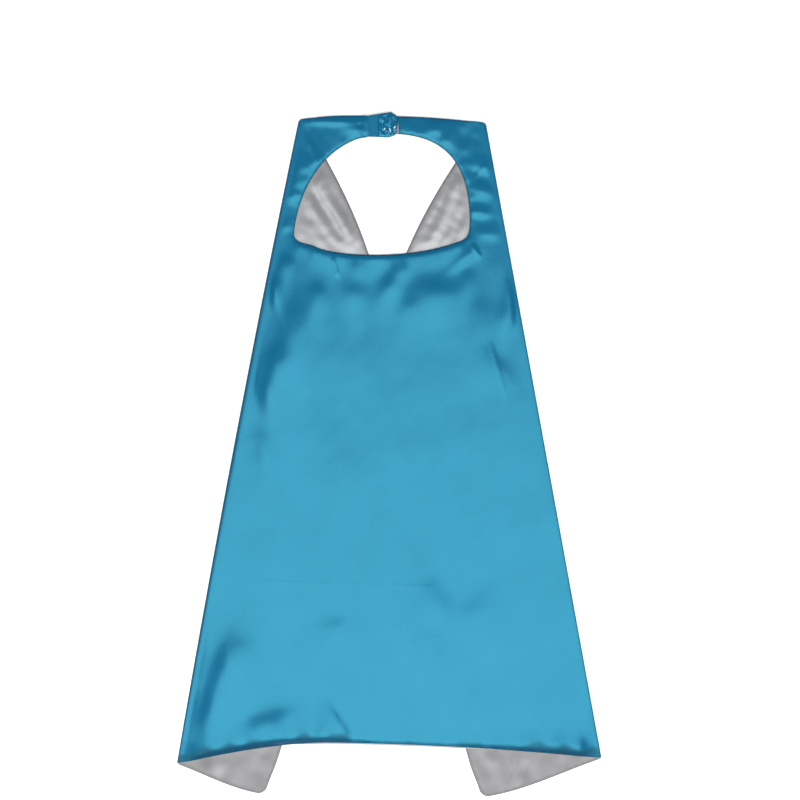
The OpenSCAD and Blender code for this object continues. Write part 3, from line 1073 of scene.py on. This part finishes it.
def make_back_lining():
    """The silver layer. It peeks out from under the middle of the hem."""
    verts, triangles, rim, rim_xy, free = folded_sheet(
        back_outline, FOLDS, LINING_TURN_R, LINING_SPACING, LINING_SPACING, back_z(LAYER_GAP, 0.5), 1
    )
    x = rim_xy[:, 0] / MM
    middle = soft_step(x, -112, -80) * soft_step(-x, -190, -60) * (rim_xy[:, 1] < ABOVE_HEM)
    free &= ~at_step(rim_xy)
    edged = rolled(verts, triangles, rim, free, LINING_ROLL_R, -1, LINING_ROLL_R, HEM_PEEK * middle)
    return piece("back_lining_cloth", *edged)


# ---- the flaps ----

def flap_height(xy_m, fold, edge, seed):
    """How far a flap stands above the CAD's flat one. It keeps below the back that lies on it."""
    xy = xy_m / MM
    from_edge, edge_at = nearest_mm(xy_m, edge)
    from_neck = nearest_mm(xy_m, NECK_LOOP)[0]
    from_hem = nearest_mm(xy_m, HEM)[0]
    in_neck = inside(xy_m, NECK_LOOP)
    below_hem = ~inside(xy_m, FINE_BACK) & (xy[:, 1] < 0)

    near_neck, near_hem = np.exp(-((from_neck / 12) ** 2)), np.exp(-((from_hem / 14) ** 2))
    covered = 0.42 * np.maximum(back_height(xy_m) / MM, 0) * (1 - near_neck) * (1 - near_hem)
    covered += 0.5 * near_neck
    lift = np.where(in_neck, 0.5, np.where(below_hem, 0, covered))

    slant = FLAP_SLANTS[fold is RIGHT_FOLD]
    c, s = math.cos(slant), math.sin(slant)
    streaks = np.column_stack([xy[:, 0] * c + xy[:, 1] * s, xy[:, 1] * c - xy[:, 0] * s])
    crumple = 0.24 * ripples(streaks, 28, seed, stretch=(0.6, 2.2)) + 0.07 * ripples(xy, 13, seed + 1)
    crumple += 0.015 * ripples(xy, 5, seed + 2)
    ridge = 0.9 * np.exp(-(((from_edge - 13) / 7) ** 2)) * in_neck
    shown = np.where(in_neck, soft_step(from_neck, 0.5, 10), 0)
    shown += np.where(below_hem, 1.3 * soft_step(from_hem, 1, 12), 0)
    own = (0.2 + ridge + crumple) * shown * soft_step(from_edge, 1, 9)

    band = 0.3 * (1 - soft_step(from_edge, 4.5, 8))
    edge_waves = 0.10 * np.exp(-from_edge / 5) * puckers(edge_at, 11, seed + 3)
    height = lift + own + (band + edge_waves) * (1 - np.exp(-from_edge / 1.5))
    height = height * soft_step(fold.split(xy_m)[1] / MM, 0.5, 12)
    return np.maximum(height, 0) * MM


def flap_shade(edge, seed, hem_shade):
    """A flap's painted shade, as a function of the points' X and Y: a dark line along its sewn edge, which is
    darker in a few puckers, and a mottled painted shade on its lower end by hem_shade."""

    def amount(xy):
        from_edge, at = nearest_mm(xy, edge)
        puckered = np.clip(puckers(at, 24, seed) - 1.0, 0, 1)
        line = 0.9 * (1 - soft_step(from_edge, 0.7, 2.0))
        band = (0.10 + 0.30 * puckered) * (1 - soft_step(from_edge, 2.5, 6))
        mottled = hem_shade * (1 + 0.09 * ripples(xy / MM, 24, seed + 1))
        return np.max([line, band, mottled * soft_step(-xy[:, 1], 0.20, 0.30)], axis=0)

    return amount


def make_flap(side, fold, seed):
    """A flap's outer layer, which lies on the floor, its lining, which faces up, and their seam."""

    def flat_outline(reach):
        return flap_outline(side + "_flap_outer", fold, reach)

    outline = even_outline(flat_outline(0), FINE_SPACING)
    on_edge = fold.split(outline)[1] > CLEAR
    edge = outline[on_edge]

    def z(base, share):
        return lambda xy: base + share * flap_height(xy, fold, edge, seed)

    sheets = []
    for name, turn_r, height, out, sign, hem_shade in (
        ("_flap_outer_cloth", TURN_R, z(0, 0.5), FLAP_OUTER_ROLL_OUT, -1, 0),
        ("_flap_lining_cloth", LINING_TURN_R, z(LAYER_GAP, 1), FLAP_ROLL_OUT, 1, FLAP_HEM_SHADE),
    ):
        verts, triangles, rim, _, free = folded_sheet(
            flat_outline, [fold], turn_r, EDGE_SPACING, FLAP_SPACING, height, -1
        )
        sheets.append(piece(side + name, *rolled(verts, triangles, rim, free, out, sign)))
        shade_edges(sheets[-1], flap_shade(edge, seed + 5, hem_shade))
    return *sheets, *make_seam(side + "_flap", outline, [runs(on_edge)[0]], z(LAYER_GAP / 2, 0.75))


# ---- camera, light and floor ----

def make_camera():
    """A camera straight above the cape, with the photo's framing."""
    data = bpy.data.cameras.new("camera")
    data.sensor_width = 36
    data.lens = data.sensor_width * CAMERA_PLACE[2] / VIEW_WIDTH
    data.clip_end = 20
    bpy.context.scene.camera = placed(data, CAMERA_PLACE)


def make_softbox():
    """A wide softbox overhead and towards the hem. Flat satin mirrors it up to the camera."""
    data = bpy.data.lights.new("softbox", "AREA")
    data.shape = "RECTANGLE"
    data.size, data.size_y = SOFTBOX_SIZE
    data.energy = SOFTBOX_ENERGY
    placed(data, SOFTBOX_PLACE).visible_camera = False


def make_stage():
    """The white surface that the cape lies on, and the light of a pale room."""
    corners = [(x * FLOOR_HALF, y * FLOOR_HALF, FLOOR_Z) for x, y in ((-1, -1), (1, -1), (1, 1), (-1, 1))]
    floor = piece("floor", corners, [(0, 1, 2, 3)])
    floor.data.materials.append(floor_material())
    world = bpy.data.worlds.new("studio")
    world.use_nodes = True
    fit(world.node_tree, world.node_tree.nodes["Background"], Color=(0.97, 0.98, 1.0, 1), Strength=0.45)
    bpy.context.scene.world = world
    bpy.context.scene.view_settings.view_transform = "Standard"


# ---- build ----

def dress(obj, material, slot, body, *nodes):
    """Gives a piece its material, the body that it rides on and the CAD nodes that it stands for. The slot is
    not used.
    """
    obj.data.materials.append(material)
    if body:
        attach(obj, body)
    if nodes:
        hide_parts(*nodes)


make_camera()
make_softbox()
make_stage()

back_outer = make_back_outer()
back_lining = make_back_lining()
seam_z = back_z(LAYER_GAP / 2, 0.75)
neckline_seam = make_seam("neckline", FINE_BACK, runs(KINDS["neck"]), seam_z)
hem_seam = make_seam("hem", FINE_BACK, runs(KINDS["hem"]), seam_z)
strap_seam = make_seam("strap", FINE_BACK, runs(KINDS["strap"]), seam_z)
left_outer, left_lining, *left_seam = make_flap("left", LEFT_FOLD, seed=40)
right_outer, right_lining, *right_seam = make_flap("right", RIGHT_FOLD, seed=60)
end_outer, end_lining = make_strap_end()
end_seam = make_seam(
    "strap_end", FINE_END, runs(FINE_END[:, 0] > END_START_X + BEND_LENGTH),
    lambda xy: (END_TOP + END_UNDER) / 2 + 0.6 * end_height(xy),
)
loop_tape = make_loop_tape()
hook_tape = make_hook_tape()
loop_stitching = make_box_stitches("loop_tape", lambda xy: np.full(len(xy), BACK_TOP - LAYER_GAP))
hook_stitching = make_box_stitches("hook_tape", lambda xy: END_TOP + end_height(xy))
thread_ends = make_thread_ends()

for obj, body, *nodes in (
    (back_outer, "back", "back_outer"),
    (left_outer, "left_flap", "left_flap_outer", "left_crease"),
    (right_outer, "right_flap", "right_flap_outer", "right_crease"),
    (end_outer, None, "strap_end_outer"),
):
    dress(obj, OUTER_SATIN, "outer_satin", body, *nodes)
for obj, body, node in (
    (back_lining, "back", "back_lining"),
    (left_lining, "left_flap", "left_flap_lining"),
    (right_lining, "right_flap", "right_flap_lining"),
    (end_lining, None, "strap_end_lining"),
):
    dress(obj, LINING_SATIN, "lining_satin", body, node)
for obj in (end_outer, end_lining):
    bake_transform(obj)

for (allowance, thread), body, node in (
    (neckline_seam, "back", "neckline_seam"),
    (hem_seam, "back", "hem_seam"),
    (strap_seam, "back", "strap_seam"),
    (left_seam, "left_flap", "left_flap_seam"),
    (right_seam, "right_flap", "right_flap_seam"),
    (end_seam, "strap_end", "strap_end_seam"),
):
    dress(allowance, SEAM_SATIN, "seam", body, node)
    dress(thread, THREAD, "thread", body)

dress(loop_tape, LOOP_PILE, "loop_tape", "back", "loop_tape")
dress(hook_tape, HOOK_NYLON, "hook_tape", "strap_end", "hook_tape")
dress(loop_stitching, THREAD, "thread", "back", "loop_tape_stitching")
dress(hook_stitching, THREAD, "thread", "strap_end", "hook_tape_stitching")
dress(thread_ends, WHITE_THREAD, "thread", "strap_end")
